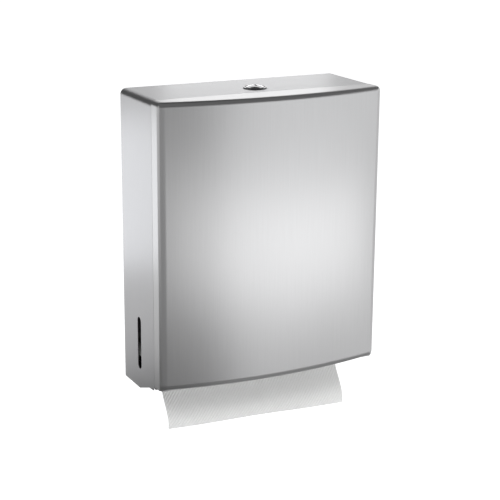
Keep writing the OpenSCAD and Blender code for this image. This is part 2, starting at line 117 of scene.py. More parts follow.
def add_node(tree, kind, links=None, **settings):
    """A node with settings and links. A setting named after an input sets that input's value."""
    node = tree.nodes.new(kind)
    for name, value in settings.items():
        if hasattr(node, name):
            setattr(node, name, value)
        else:
            node.inputs[name.replace("_", " ")].default_value = value
    for name, socket in (links or {}).items():
        tree.links.new(socket, node.inputs[name])
    return node


def seen_ray(tree):
    """A socket that is 1 where the camera looks, straight, mirrored or through glass, or else 0."""
    ray = add_node(tree, "ShaderNodeLightPath")
    seen = add_node(tree, "ShaderNodeMath", operation="MAXIMUM",
                    links={0: ray.outputs["Is Camera Ray"], 1: ray.outputs["Is Glossy Ray"]})
    shown = add_node(tree, "ShaderNodeMath", operation="MAXIMUM",
                     links={0: seen.outputs[0], 1: ray.outputs["Is Transmission Ray"]})
    return shown.outputs[0]


room = bpy.data.worlds.new("white_room")
scene.world = room
room.use_nodes = True
tree = room.node_tree
tree.nodes.clear()
soft_light = add_node(tree, "ShaderNodeBackground", Color=ROOM_TINT, Strength=ROOM_LIGHT)
white = add_node(tree, "ShaderNodeBackground", Color=(1, 1, 1, 1), Strength=1.0)
choose = add_node(tree, "ShaderNodeMixShader",
                  links={0: seen_ray(tree), 1: soft_light.outputs[0], 2: white.outputs[0]})
add_node(tree, "ShaderNodeOutputWorld", links={"Surface": choose.outputs[0]})
print("room light:", round(soft_light.inputs["Strength"].default_value, 2))

# %% [markdown]
# ### Lamps
# Three broad softboxes light the paper and the shaded places, and metal doesn't mirror them. The
# other three are there to be mirrored: the low strip makes the broad glow on the door, the side
# card brightens the middle of the cabinet's side, and the top strip lies along the top.


# %% Lamps
def softbox(name, at, aim, size, watts, tint=(1, 1, 1), mirrored=True):
    """A rectangular soft lamp that faces a point. Metal mirrors it, unless mirrored is False."""
    data = bpy.data.lights.new(name, "AREA")
    data.shape = "RECTANGLE"
    data.size, data.size_y = size
    data.energy = watts
    data.color = tint
    lamp = new_object(name, data)
    at = Vector(at)
    facing = (Vector(aim) - at).to_track_quat("-Z", "Y")
    lamp.matrix_world = Matrix.Translation(at) @ facing.to_matrix().to_4x4()
    lamp.visible_camera = False
    lamp.visible_glossy = mirrored
    return lamp


lamps = [
    softbox("key_softbox", at=(-1.3, -1.9, 2.1), aim=(0, -0.05, 0), size=(1.2, 1.2), watts=20,
            mirrored=False),
    softbox("back_softbox", at=(0.6, 1.8, 1.9), aim=(0, 0, 0), size=(1.4, 1.0), watts=14,
            mirrored=False),
    softbox("right_softbox", at=(1.35, -1.7, -0.35), aim=(0, -0.1, 0), size=(0.8, 0.8), watts=11.5,
            mirrored=False),
    softbox("low_strip", at=(0.234, -0.672, -0.18), aim=(0.002, -0.132, -0.01), size=(0.92, 0.18),
            watts=0.41),
    softbox("side_card", at=(-0.40, 0.545, -0.095), aim=(-0.144, -0.03, 0.03), size=(0.2, 0.25),
            watts=0.165, tint=(0.94, 0.965, 1.0)),
    softbox("top_strip", at=(0.30, 0.55, 0.32), aim=(0, -0.07, 0.17), size=(0.28, 0.10),
            watts=0.112),
]
print(len(lamps), "softboxes,", round(sum(lamp.data.energy for lamp in lamps), 1), "watts in all")

# %% [markdown]
# ### Floor
# The floor is a plain pale sheet. It takes the object's shadow as any paint does, and glows a
# little where the camera sees it, so that it runs into the white behind.

# %% Floor
FLOOR_Z, FLOOR_REACH, FLOOR_GLOW = -0.75, 40, 0.6


def studio_piece(name, corners, faces=((0, 1, 2, 3),)):
    """A thin mesh that belongs to the studio and not to the object."""
    data = bpy.data.meshes.new(name)
    data.from_pydata(corners, [], faces)
    made = new_object(name, data)
    return made


def rectangle(x_range, y_range, z):
    """The corners of a level rectangle, seen anticlockwise from above."""
    (x0, x1), (y0, y1) = x_range, y_range
    return [(x0, y0, z), (x1, y0, z), (x1, y1, z), (x0, y1, z)]


floor_range = (-FLOOR_REACH, FLOOR_REACH)
floor = studio_piece("pale_floor", rectangle(floor_range, floor_range, FLOOR_Z))
floor_paint = bpy.data.materials.new("pale_floor_paint")
floor_paint.use_nodes = True
tree = floor_paint.node_tree
tree.nodes.clear()
paint = add_node(tree, "ShaderNodeBsdfDiffuse", Color=(0.8, 0.8, 0.8, 1))
glow = add_node(tree, "ShaderNodeEmission", Color=(1, 1, 1, 1), Strength=FLOOR_GLOW)
no_glow = add_node(tree, "ShaderNodeEmission", Color=(0, 0, 0, 1), Strength=0.0)
choose = add_node(tree, "ShaderNodeMixShader",
                  links={0: seen_ray(tree), 1: no_glow.outputs[0], 2: glow.outputs[0]})
both = add_node(tree, "ShaderNodeAddShader", links={0: paint.outputs[0], 1: choose.outputs[0]})
add_node(tree, "ShaderNodeOutputMaterial", links={"Surface": both.outputs[0]})
floor.data.materials.append(floor_paint)
print("floor at", FLOOR_Z, "m")

# %% [markdown]
# ### What the steel mirrors
# A photographer shades steel with cards and cloths that stand outside the picture. Here only
# reflections see them, so they shade the steel and leave the paper alone. A dim ceiling with a
# bright and a black card draws the light top and the dark line along its front bend. A card on the
# left darkens the side's upper bend, two in front shade the upper door, and a grey curtain and
# cloths on the floor darken the door's left edge and its foot. The ceiling stops just short of
# straight up, where its faces would shrink to nothing.

# %% Cards on a great dome
DOME_ROWS = 8


def mirrored_card(name, corners, faces, grey):
    """An evenly dim studio piece that nothing but reflections sees."""
    card = studio_piece(name, corners, faces)
    cloth = bpy.data.materials.new(name)
    cloth.use_nodes = True
    tree = cloth.node_tree
    tree.nodes.clear()
    glow = add_node(tree, "ShaderNodeEmission", Color=(grey, grey, grey, 1), Strength=1.0)
    add_node(tree, "ShaderNodeOutputMaterial", links={"Surface": glow.outputs[0]})
    card.data.materials.append(cloth)
    card.visible_camera = False
    card.visible_diffuse = False
    card.visible_shadow = False
    card.visible_transmission = False
    card.visible_volume_scatter = False


def angles_between(first, last, steps):
    """Evenly spaced angles in radians, from two angles in degrees."""
    return [math.radians(first + (last - first) * k / steps) for k in range(steps + 1)]


def sky_patch(name, radius, turns, rises, grey, steps=24):
    """Part of a dome round the object. Turns run from straight behind to the right, in degrees."""
    ways, ups = angles_between(*turns, steps), angles_between(*rises, DOME_ROWS)
    corners = [(radius * math.cos(u) * math.sin(w), radius * math.cos(u) * math.cos(w),
                radius * math.sin(u)) for u in ups for w in ways]
    row = steps + 1
    faces = [(r * row + k, r * row + k + 1, (r + 1) * row + k + 1, (r + 1) * row + k)
             for r in range(DOME_ROWS) for k in range(steps)]
    mirrored_card(name, corners, faces, grey)


sky_patch("dim_ceiling", radius=9.0, turns=(0, 360), rises=(18, 89.5), grey=0.2, steps=48)
sky_patch("bright_card", radius=8.0, turns=(2, 62), rises=(20, 45), grey=0.75)
sky_patch("black_card", radius=8.0, turns=(-10, 75), rises=(47, 86), grey=0.04)
sky_patch("left_card", radius=8.5, turns=(-78, 0), rises=(0, 47), grey=0.12)
sky_patch("front_left_card", radius=8.5, turns=(168, 262), rises=(-2, 24), grey=0.12)
sky_patch("front_right_card", radius=8.5, turns=(128, 168), rises=(7, 24), grey=0.12)
print("a dim ceiling and five cards")

# %% A curtain on the camera's side and cloths on the floor
CURTAIN_R, CURTAIN_FROM, CURTAIN_TO, CURTAIN_STEPS = 1.9, -78.0, 9.0, 24
CURTAIN_FOOT, CURTAIN_TOP, CURTAIN_GREY = FLOOR_Z + 0.02, 0.2, 0.45
corners = [(CURTAIN_R * math.sin(w), -CURTAIN_R * math.cos(w), z)
           for w in angles_between(CURTAIN_FROM, CURTAIN_TO, CURTAIN_STEPS)
           for z in (CURTAIN_FOOT, CURTAIN_TOP)]
faces = [(2 * k, 2 * k + 2, 2 * k + 3, 2 * k + 1) for k in range(CURTAIN_STEPS)]
mirrored_card("grey_curtain", corners, faces, CURTAIN_GREY)
# Each cloth's name, height over the floor, ranges of x and y in metres, and grey.
for name, lift, x_range, y_range, grey in (
        ("dark_floor_cloth", 0.01, (-2.4, 0.3), (-2.15, 1.35), 0.13),
        ("near_floor_cloth", 0.012, (0.05, 0.95), (-1.05, 0.4), 0.32),
        ("pale_floor_cloth", 0.005, (-12, 12), (-2.15, 12), 0.85)):
    mirrored_card(name, rectangle(x_range, y_range, FLOOR_Z + lift), ((0, 1, 2, 3),), grey)
print("curtain", CURTAIN_R, "m away, over", CURTAIN_TO - CURTAIN_FROM, "degrees")

# %% [markdown]
# ## Steel finishes
# Satin stainless steel is sanded with a belt, which leaves fine parallel scratches. Three things
# carry that look: a base colour that wavers a little, a roughness that changes from scratch to
# scratch, and a bump so shallow that only the highlight shows it. The scratches come from one
# noise, stretched along the grain. Along each bend a value named fold, kept on the mesh, darkens
# the base colour: painted shade that stands in for the dark reflections along the bends.


# %% Helpers for finishes
def new_finish(name):
    """A new material, its node tree and its shader."""
    made = bpy.data.materials.new(name)
    made.use_nodes = True
    return made, made.node_tree, made.node_tree.nodes["Principled BSDF"]


def toned(colour, share):
    """A colour made lighter or darker, for a socket."""
    return [min(1.0, c * share) for c in colour] + [1]


print("a mid grey made a tenth darker:", [round(c, 2) for c in toned((0.5, 0.5, 0.5), 0.9)])

# %% A steel maker, and the two sanded sheets
ROUGHNESS_SPREAD, SCRATCH_DEPTH = 0.12, 0.0002


def steel(name, colour, roughness, grain=(1, 0.02, 1), grain_lines=700, depth=0.12, tone=0.05,
          bend_shade_tone=None, brushed=0.0, layout="Object", mottle=0.03):
    """A metal with a grain. grain is how fast the pattern changes along each way of its layout."""
    metal, tree, shader = new_finish(name)
    shader.inputs["Metallic"].default_value = 1.0
    where = add_node(tree, "ShaderNodeTexCoord")
    stretch = add_node(tree, "ShaderNodeMapping", Scale=grain,
                       links={"Vector": where.outputs[layout]})
    scratches = add_node(tree, "ShaderNodeTexNoise", Scale=grain_lines, Detail=3.0, Roughness=0.6,
                         links={"Vector": stretch.outputs["Vector"]})
    clouds = add_node(tree, "ShaderNodeTexNoise", Scale=9.0, Detail=2.0, Roughness=0.5,
                      links={"Vector": where.outputs["Object"]})
    lines = scratches.outputs["Fac"]

    skin = add_node(tree, "ShaderNodeMix", data_type="RGBA", A=toned(colour, 1 - tone),
                    B=toned(colour, 1 + tone), links={"Factor": lines})
    cloud_tone = add_node(tree, "ShaderNodeMapRange", To_Min=1 - mottle, To_Max=1 + mottle,
                          links={"Value": clouds.outputs["Fac"]})
    worn = add_node(tree, "ShaderNodeMix", data_type="RGBA", blend_type="MULTIPLY", Factor=1.0,
                    links={"A": skin.outputs["Result"], "B": cloud_tone.outputs["Result"]})
    colour_out = worn.outputs["Result"]
    # Painted shade: along the bends the fold value on the mesh darkens the base colour, in place of
    # the dark reflections there.
    if bend_shade_tone is not None:
        fold = add_node(tree, "ShaderNodeAttribute", attribute_name="fold")
        bend_shaded = add_node(tree, "ShaderNodeMix", data_type="RGBA", B=toned(colour, bend_shade_tone),
                            links={"Factor": fold.outputs["Fac"], "A": colour_out})
        colour_out = bend_shaded.outputs["Result"]
    tree.links.new(colour_out, shader.inputs["Base Color"])

    matt = add_node(tree, "ShaderNodeMapRange", To_Min=roughness * (1 - ROUGHNESS_SPREAD),
                    To_Max=roughness * (1 + ROUGHNESS_SPREAD), links={"Value": lines})
    tree.links.new(matt.outputs["Result"], shader.inputs["Roughness"])
    bump = add_node(tree, "ShaderNodeBump", Strength=depth, Distance=SCRATCH_DEPTH,
                    links={"Height": lines})
    tree.links.new(bump.outputs["Normal"], shader.inputs["Normal"])
    if brushed:
        shader.inputs["Anisotropic"].default_value = brushed
        across_grain = add_node(tree, "ShaderNodeTangent", direction_type="UV_MAP", uv_map="grain")
        tree.links.new(across_grain.outputs["Tangent"], shader.inputs["Tangent"])
    return metal


# The tone given for the bends is painted shade, a share of the base colour used along each bend.
finish = {
    "door": steel("door_satin_steel", (0.535, 0.535, 0.54), 0.30, bend_shade_tone=0.95, brushed=0.2,
                  layout="UV"),
    "cabinet": steel("cabinet_satin_steel", (0.53, 0.53, 0.54), 0.33, bend_shade_tone=0.95, brushed=0.4,
                     layout="UV"),
}
print("sanded sheets:", ", ".join(finish))

# %% [markdown]
# ### The other metals
# The tray and the back panel are dull mill steel, the hinge is drawn, and the lock is polished
# chrome with zinc-plated parts behind it. These pieces keep their CAD shape, because it is right as
# it is, and only get a finish. The lock's dished ring lies in its own shade, so its chrome is
# darker.

# %% Finishes on the CAD pieces
ANY_WAY = (1, 1, 1)
finish.update({
    "mill": steel("mill_steel", (0.42, 0.42, 0.425), 0.42, grain=(0.03, 1, 1), grain_lines=300,
                  mottle=0.08),
    "hinge": steel("drawn_hinge_steel", (0.47, 0.47, 0.475), 0.33, grain=(0.02, 1, 1),
                   grain_lines=900),
    "chrome": steel("polished_chrome", (0.82, 0.82, 0.83), 0.07, grain=ANY_WAY, grain_lines=500,
                    depth=0.01, tone=0.02, mottle=0.01),
    "ring": steel("shaded_chrome", (0.11, 0.11, 0.115), 0.16, grain=ANY_WAY, grain_lines=500,
                  depth=0.02, tone=0.03, mottle=0.02),
    "zinc": steel("zinc_plate", (0.56, 0.58, 0.60), 0.28, grain=ANY_WAY, grain_lines=260,
                  depth=0.05, tone=0.1, mottle=0.06),
    "brass": steel("stamped_brass", (0.72, 0.55, 0.27), 0.3, grain=(0.1, 1, 1), grain_lines=900,
                   tone=0.08),
})
finish_of_slot = {"brushed_steel": "door", "mill_steel": "mill", "hinge_steel": "hinge",
                  "chrome": "chrome", "zinc_plate": "zinc", "brass": "brass"}
slot_of_node = {part["node"]: part["material_slot"] for part in frame["record"]["subparts"]}
for node, cad_object in frame["nodes"].items():
    if slot_of_node[node] in finish_of_slot:
        chosen = "ring" if node == "lock_ring" else finish_of_slot[slot_of_node[node]]
        for material_slot in cad_object.material_slots:
            material_slot.material = finish[chosen]
print("finished", sum(slot_of_node[n] in finish_of_slot for n in frame["nodes"]), "CAD pieces")

# %% [markdown]
# ## Sheet-metal skins
# The cabinet and the door are folded from flat sheet. A bevelled box would have the right outline,
# but no wall and a grain that breaks at every corner. A fold reads as real when its bend is an even
# arc, the sheet has its thickness, and the grain follows the metal round the corner. So each skin
# is drawn as the outer face alone, with a UV map that lays the sheet out flat: U runs across the
# grain and V along it. Support lines close to the ends of a bend keep the shading of the flats
# even.

# %% An open sheet with its flat layout
SUPPORT = 0.4
ARC_STEPS = 8


class Skin:
    """An open sheet, point by point, with its flat layout and each point's painted bend shade."""

    def __init__(self):
        self.net = bmesh.new()
        self.flat = self.net.loops.layers.uv.new("grain")
        self.fold = self.net.verts.layers.float.new("fold")

    def point(self, x, depth, height, fold=0.0):
        """A corner of the net, from drawing millimetres."""
        vert = self.net.verts.new(place(x, depth, height))
        vert[self.fold] = fold
        return vert

    def face(self, verts, layout, flip=False):
        """A face, and its corners on the flat sheet in millimetres. flip turns it round."""
        corners = list(zip(verts, layout))
        if flip:
            corners.reverse()
        made = self.net.faces.new([vert for vert, _ in corners])
        for loop, (_, (across, along)) in zip(made.loops, corners):
            loop[self.flat].uv = (across / 1000, along / 1000)


def bend_shade_share(share):
    """How much painted shade a bend gets at a share of the way round: none at its ends, most between.
    """
    return math.sin(math.pi * share)


def seen_from_front(verts):
    """The flat layout of a face that looks forwards or back."""
    return [(v.co.x * 1000, v.co.z * 1000) for v in verts]


print("a bend has", ARC_STEPS, "steps, and support lines", SUPPORT, "mm off its ends")

# %% [markdown]
# ### From a net to a piece of sheet metal
# A Solidify modifier gives the sheet its thickness inwards, Booleans cut the holes, and a small
# Bevel breaks the cut edges. What they make then becomes the piece's own mesh, which is closed and
# shaded once for all.

# %% From modifiers to a plain, closed mesh
SMALLEST, GAP_CORNERS, SHARP_ANGLE = 0.01, 8, 35.0


def flatten_modifiers(piece):
    """Turns what a piece's modifiers make into its own plain mesh."""
    bpy.context.view_layer.update()
    seen_by_graph = piece.evaluated_get(bpy.context.evaluated_depsgraph_get())
    made = bpy.data.meshes.new_from_object(seen_by_graph)
    piece.modifiers.clear()
    old = piece.data
    piece.data = made
    made.name = piece.name
    bpy.data.meshes.remove(old)


def close_mesh(piece):
    """Large faces become triangles, hairline gaps are filled and needless corners merged."""
    net = bmesh.new()
    net.from_mesh(piece.data)
    bmesh.ops.triangulate(net, faces=[face for face in net.faces if len(face.verts) > 4])
    rims = [edge for edge in net.edges if edge.is_boundary]
    bmesh.ops.holes_fill(net, edges=rims, sides=GAP_CORNERS)
    bmesh.ops.remove_doubles(net, verts=net.verts, dist=SMALLEST / 1000)
    net.to_mesh(piece.data)
    net.free()


def smooth_bends(piece, angle=SHARP_ANGLE):
    """Smooth shading that stays sharp at cut edges and tight corners."""
    piece.data.shade_smooth()
    piece.data.set_sharp_from_angle(angle=math.radians(angle))


def even_flats(piece):
    """Lets the large flats set the shading, so that the broken edges' faces don't tilt it."""
    even = piece.modifiers.new("even_flats", "WEIGHTED_NORMAL")
    even.keep_sharp = True
    even.weight = 100
    flatten_modifiers(piece)


print("corners closer than", SMALLEST, "mm are merged")


# %% Solids that cut holes
def mesh_of_net(name, net):
    """A mesh from a finished net."""
    data = bpy.data.meshes.new(name)
    net.to_mesh(data)
    net.free()
    return data


def cutter_from_outline(name, outline, shift):
    """A solid for cutting: a flat outline of Blender points, carried along a shift in metres."""
    net = bmesh.new()
    near = [net.verts.new(p - shift / 2) for p in outline]
    far = [net.verts.new(p + shift / 2) for p in outline]
    net.faces.new(near)
    net.faces.new(far)
    for k in range(len(outline)):
        n = (k + 1) % len(outline)
        net.faces.new((near[k], near[n], far[n], far[k]))
    bmesh.ops.recalc_face_normals(net, faces=net.faces)
    return new_object(name, mesh_of_net(name, net))


print("a cutter is an outline carried through the sheet, and goes once it has cut")

# %% Thickness, cut-outs and broken edges
EDGE_BREAK, BREAK_ABOVE, SAME_POINT = 0.25, 50, 1e-7


def finish_skin(skin, name, thickness, cutters, metal):
    """Gives a skin its thickness, its cut-outs and its broken edges."""
    bmesh.ops.remove_doubles(skin.net, verts=skin.net.verts, dist=SAME_POINT)
    bmesh.ops.dissolve_degenerate(skin.net, edges=skin.net.edges, dist=SAME_POINT)
    piece = new_object(name, mesh_of_net(name, skin.net))
    piece.data.materials.append(metal)
    solid = piece.modifiers.new("thickness", "SOLIDIFY")
    solid.thickness = thickness / 1000
    solid.offset = -1.0
    solid.use_even_offset = True
    for cutter in cutters:
        cut = piece.modifiers.new("cut", "BOOLEAN")
        cut.operation = "DIFFERENCE"
        cut.solver = "EXACT"
        cut.object = cutter
    broken = piece.modifiers.new("broken_edges", "BEVEL")
    broken.width = EDGE_BREAK / 1000
    broken.segments = 2
    broken.limit_method = "ANGLE"
    broken.angle_limit = math.radians(BREAK_ABOVE)
    flatten_modifiers(piece)
    for cutter in cutters:
        bpy.data.objects.remove(cutter)
    close_mesh(piece)
    smooth_bends(piece)
    even_flats(piece)
    print(name, len(piece.data.polygons), "faces")
    return piece


print("cut edges are broken by", EDGE_BREAK, "mm")

# %% [markdown]
# ### The door
# The door is a shallow pan. Seen from above, its outline is two straight sides, a long bow, and a
# bend at each side that is tight at first and eases into the bow. Every point of that outline lies
# on a circle, so a smaller outline for the rounded top edge is the same list of circles with
# smaller radii. At the foot only what faces forwards draws in, so the corners there come out round.
# The pan is a net of these outlines, closed by a flat top, a flat floor for the hinge, and a lip
# turned in round the open rear.

# %% Door outline
TIGHT_R, EASY_R, EASY_TO = 7.0, 12.0, math.radians(38)
SIDE_MIDDLE_D, BEND_STEPS, BOW_STEPS = 100.0, 18, 48
BOW_RISE = DOOR_FRONT - DOOR_EDGE
BOW_R = ((BODY_W / 2) ** 2 + BOW_RISE ** 2) / (2 * BOW_RISE)
bow_centre_d = DOOR_FRONT - BOW_R
tight_x = BODY_W / 2 - TIGHT_R
easy_x = tight_x - (EASY_R - TIGHT_R) * math.sin(EASY_TO)
bow_reach = math.asin(easy_x / (BOW_R - EASY_R))
easy_depth = bow_centre_d + (BOW_R - EASY_R) * math.cos(bow_reach)
tight_depth = easy_depth + (EASY_R - TIGHT_R) * math.cos(EASY_TO)


def door_columns():
    """Each place round the outline: centre x and depth, radius, direction and painted bend shade."""
    places = []
    for depth in (DOOR_REAR, DOOR_REAR + SUPPORT, SIDE_MIDDLE_D, tight_depth - SUPPORT):
        places.append((-tight_x, depth, TIGHT_R, (-1.0, 0.0), 0.0))
    for k in range(BEND_STEPS + 1):
        angle = math.pi / 2 + (bow_reach - math.pi / 2) * k / BEND_STEPS
        if angle >= EASY_TO:
            x, depth, radius = tight_x, tight_depth, TIGHT_R
        else:
            x, depth, radius = easy_x, easy_depth, EASY_R
        places.append((-x, depth, radius, (-math.sin(angle), math.cos(angle)),
                       bend_shade_share(k / BEND_STEPS)))
    mirrored = [(-x, depth, radius, (-way[0], way[1]), fold)
                for x, depth, radius, way, fold in places]
    support_angle = bow_reach - SUPPORT / BOW_R
    for k in range(BOW_STEPS + 1):
        angle = -support_angle + 2 * support_angle * k / BOW_STEPS
        places.append((0.0, bow_centre_d, BOW_R, (math.sin(angle), math.cos(angle)), 0.0))
    return places + mirrored[::-1]


def door_outline_point(column, inset):
    """Where the outline runs in a column, as x and depth, when it is drawn in by an inset."""
    x, depth, radius, way, _ = column
    return x + (radius - inset) * way[0], depth + (radius - inset) * way[1]


def faces_forwards(column):
    """0 on a side, 1 on the bow, and in between on the bends."""
    return min(1.0, column[3][1] / math.cos(bow_reach))


columns = door_columns()
print("bow radius", round(BOW_R, 1), "mm, outline of", len(columns), "places")

# %% Door rows, from the rounded foot up the tall face to the rounded top
FOOT_R, BROW_R = 7.5, 5.5
FACE_HEIGHTS = (FOOT_R + SUPPORT, 60, 120, 180, 240, 290, BODY_H - BROW_R - SUPPORT)
# A row is its part, height, inset, painted bend shade and place along the flat sheet.
door_rows = []
for k in range(ARC_STEPS + 1):
    turn = math.pi / 2 * (1 - k / ARC_STEPS)
    door_rows.append(("foot", FOOT_R - FOOT_R * math.sin(turn), FOOT_R * (1 - math.cos(turn)),
                      bend_shade_share(k / ARC_STEPS), -FOOT_R * turn))
for height in FACE_HEIGHTS:
    door_rows.append(("face", height, 0.0, 0.0, height - FOOT_R))
for k in range(ARC_STEPS + 1):
    turn = math.pi / 2 * k / ARC_STEPS
    door_rows.append(("top", BODY_H - BROW_R + BROW_R * math.sin(turn),
                      BROW_R * (1 - math.cos(turn)), bend_shade_share(k / ARC_STEPS),
                      BODY_H - FOOT_R - BROW_R + BROW_R * turn))

door_skin = Skin()
across = [0.0]
for first, second in zip(columns, columns[1:]):
    (x0, d0), (x1, d1) = door_outline_point(first, 0), door_outline_point(second, 0)
    across.append(across[-1] + math.hypot(x1 - x0, d1 - d0))
across = [a - across[-1] / 2 for a in across]
door_net = []
for part, height, inset, row_bend_shade, along in door_rows:
    row = []
    for column in columns:
        share = faces_forwards(column) if part == "foot" else 1.0
        x, depth = door_outline_point(column, inset * share)
        row.append(door_skin.point(x, depth, height, max(column[4], row_bend_shade * share)))
    door_net.append(row)
for r in range(len(door_rows) - 1):
    for c in range(len(columns) - 1):
        low, high = door_rows[r][4], door_rows[r + 1][4]
        door_skin.face(
            (door_net[r][c], door_net[r][c + 1], door_net[r + 1][c + 1], door_net[r + 1][c]),
            ((across[c], low), (across[c + 1], low), (across[c + 1], high), (across[c], high)))
print("door net:", len(columns), "places round by", len(door_rows), "rows up")

# %% Door top, floor and lip
DOOR_T, DOOR_LIP = 1.2, 8.0


def laid_out(verts, along_at_front, sense):
    """The flat layout of the top or the floor: the grain runs on towards the wall."""
    return [(v.co.x * 1000, along_at_front + sense * (DOOR_FRONT + v.co.y * 1000)) for v in verts]


top_edge, floor_edge = door_net[-1], door_net[0][::-1]
door_skin.face(top_edge, laid_out(top_edge, BODY_H, 1))
door_skin.face(floor_edge, laid_out(floor_edge, 0, -1))

lip_x, lip_top = BODY_W / 2 - DOOR_T - DOOR_LIP, BODY_H - DOOR_T - DOOR_LIP
lip_ends = []
for side, column in ((-1, 0), (1, -1)):
    outer = [row[column] for row in door_net]
    inner = [door_skin.point(side * lip_x, DOOR_REAR, min(row[1], lip_top)) for row in door_rows]
    for k in range(len(outer) - 1):
        ring = [outer[k], outer[k + 1], inner[k + 1], inner[k]]
        door_skin.face(ring, seen_from_front(ring), flip=side > 0)
    lip_ends.append((outer[-1], inner[-1]))
(left_outer, left_inner), (right_outer, right_inner) = lip_ends
ring = [left_outer, right_outer, right_inner, left_inner]
door_skin.face(ring, seen_from_front(ring))
print("lip", DOOR_LIP, "mm wide round the open rear")

# %% Rivet holes, and the finished door
HINGE_W, RIVETS, RIVET_D, RIVET_HOLE_R, RIVET_HOLE_STEPS = 283.0, 5, 100.0, 1.55, 20
THROUGH_FLOOR = Vector((0, 0, 0.01))
rivet_turns = [math.tau * j / RIVET_HOLE_STEPS for j in range(RIVET_HOLE_STEPS)]
rivet_cutters = []
for k in range(RIVETS):
    rivet_x = (k + 0.5) * HINGE_W / RIVETS - HINGE_W / 2
    circle = [place(rivet_x + RIVET_HOLE_R * math.cos(t), RIVET_D + RIVET_HOLE_R * math.sin(t),
                    DOOR_T / 2) for t in rivet_turns]
    rivet_cutters.append(cutter_from_outline("rivet_cutter", circle, THROUGH_FLOOR))
door = finish_skin(door_skin, "door_pan", DOOR_T, rivet_cutters, finish["door"])
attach(door, "door")
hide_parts("door_shell")

# %% [markdown]
# ### The cabinet
# One strip of steel runs up the left side, over the top and down the right, so its grain runs round
# with it. Its front edges are turned in to make the frame that the door closes on. Below, the sides
# drop to short skirts that hide the outlet. The slots in the sides show when the towels run low.
# The section is drawn once and used for both sides.

# %% Cabinet sides, bends and top
BEND_R = 7.5
SIDE_FOOT = [(0.0, -17.0), (47.0, -17.0), (76.0, -6.7), (88.6, -5.8), (92.0, 0.0)]
bend_x, bend_height = BODY_W / 2 - BEND_R, BODY_H - BEND_R
# A point of the section is its x, height, painted bend shade and place along the flat sheet.
arc = []
for k in range(ARC_STEPS + 1):
    turn = math.pi / 2 * k / ARC_STEPS
    arc.append((bend_x + BEND_R * math.cos(turn), bend_height + BEND_R * math.sin(turn),
                bend_shade_share(k / ARC_STEPS), bend_height + BEND_R * turn))
top_along = arc[-1][3]
section = [(BODY_W / 2, bend_height - SUPPORT, 0.0, bend_height - SUPPORT)] + arc
section.append((bend_x - SUPPORT, BODY_H, 0.0, top_along + SUPPORT))

cabinet_skin = Skin()
halves = []
for side in (-1, 1):
    pairs = [(cabinet_skin.point(side * x, 0, height, fold),
              cabinet_skin.point(side * x, CABINET_D, height, fold), along)
             for x, height, fold, along in section]
    front_u = side * CABINET_D
    for (rear0, front0, along0), (rear1, front1, along1) in zip(pairs, pairs[1:]):
        cabinet_skin.face((rear0, front0, front1, rear1),
                          ((0.0, along0), (front_u, along0), (front_u, along1), (0.0, along1)),
                          flip=side > 0)
    foot = [cabinet_skin.point(side * BODY_W / 2, depth, height) for depth, height in SIDE_FOOT]
    ring = foot + [pairs[0][1], pairs[0][0]]
    layout = [(-side * v.co.y * 1000, v.co.z * 1000 + FOOT_BELOW_ORIGIN) for v in ring]
    cabinet_skin.face(ring, layout, flip=side > 0)
    halves.append((side, pairs, foot))
left_top, right_top = halves[0][1][-1], halves[1][1][-1]
ring = [left_top[0], left_top[1], right_top[1], right_top[0]]
cabinet_skin.face(ring, [(-v.co.y * 1000, top_along + bend_x + v.co.x * 1000) for v in ring])
print("cabinet section of", len(section), "points on each side")

# %% Cabinet frame round the open front
CABINET_T, CABINET_LIP, SEAT_GAP = 1.0, 8.0, 0.3
frame_x, frame_top = BODY_W / 2 - CABINET_T - CABINET_LIP, BODY_H - CABINET_T - CABINET_LIP
frame_ends = []
for side, pairs, foot in halves:
    outer = [foot[-1]] + [front for _, front, _ in pairs]
    heights = [min(v.co.z * 1000 + FOOT_BELOW_ORIGIN, frame_top) for v in outer]
    inner = [cabinet_skin.point(side * frame_x, CABINET_D, max(SEAT_GAP, height))
             for height in heights]
    for k in range(len(outer) - 1):
        ring = [outer[k], inner[k], inner[k + 1], outer[k + 1]]
        cabinet_skin.face(ring, seen_from_front(ring), flip=side > 0)
    frame_ends.append((outer[-1], inner[-1]))
(left_outer, left_inner), (right_outer, right_inner) = frame_ends
ring = [left_outer, left_inner, right_inner, right_outer]
cabinet_skin.face(ring, [(v.co.z * 1000, v.co.x * 1000) for v in ring])
print("frame", CABINET_LIP, "mm wide round the open front")

# %% Slots and lock hole, and the finished cabinet
SLOT_D, SLOT_R, SLOT_LOW, SLOT_HIGH, SLOT_END_STEPS = 47.5, 5.25, 8.0, 73.0, 16
LOCK_D, LOCK_HOLE_R, LOCK_FLAT, LOCK_HOLE_STEPS = 64.0, 9.3, 8.5, 64
THROUGH_SIDES, THROUGH_TOP = Vector((0.4, 0, 0)), Vector((0, 0, 0.02))
end_turns = [math.pi * j / SLOT_END_STEPS for j in range(SLOT_END_STEPS + 1)]
slot_outline = [place(0, SLOT_D + SLOT_R * math.cos(t), SLOT_HIGH - SLOT_R + SLOT_R * math.sin(t))
                for t in end_turns]
slot_outline += [place(0, SLOT_D - SLOT_R * math.cos(t), SLOT_LOW + SLOT_R - SLOT_R * math.sin(t))
                 for t in end_turns]
lock_turns = [math.tau * j / LOCK_HOLE_STEPS for j in range(LOCK_HOLE_STEPS)]
lock_outline = [place(max(-LOCK_FLAT, min(LOCK_FLAT, LOCK_HOLE_R * math.cos(t))),
                      LOCK_D + LOCK_HOLE_R * math.sin(t), BODY_H) for t in lock_turns]
cabinet_cutters = [cutter_from_outline("slot_cutter", slot_outline, THROUGH_SIDES),
                   cutter_from_outline("lock_cutter", lock_outline, THROUGH_TOP)]
cabinet = finish_skin(cabinet_skin, "cabinet_skin", CABINET_T, cabinet_cutters, finish["cabinet"])
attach(cabinet, "cabinet")
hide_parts("cabinet_wrap")

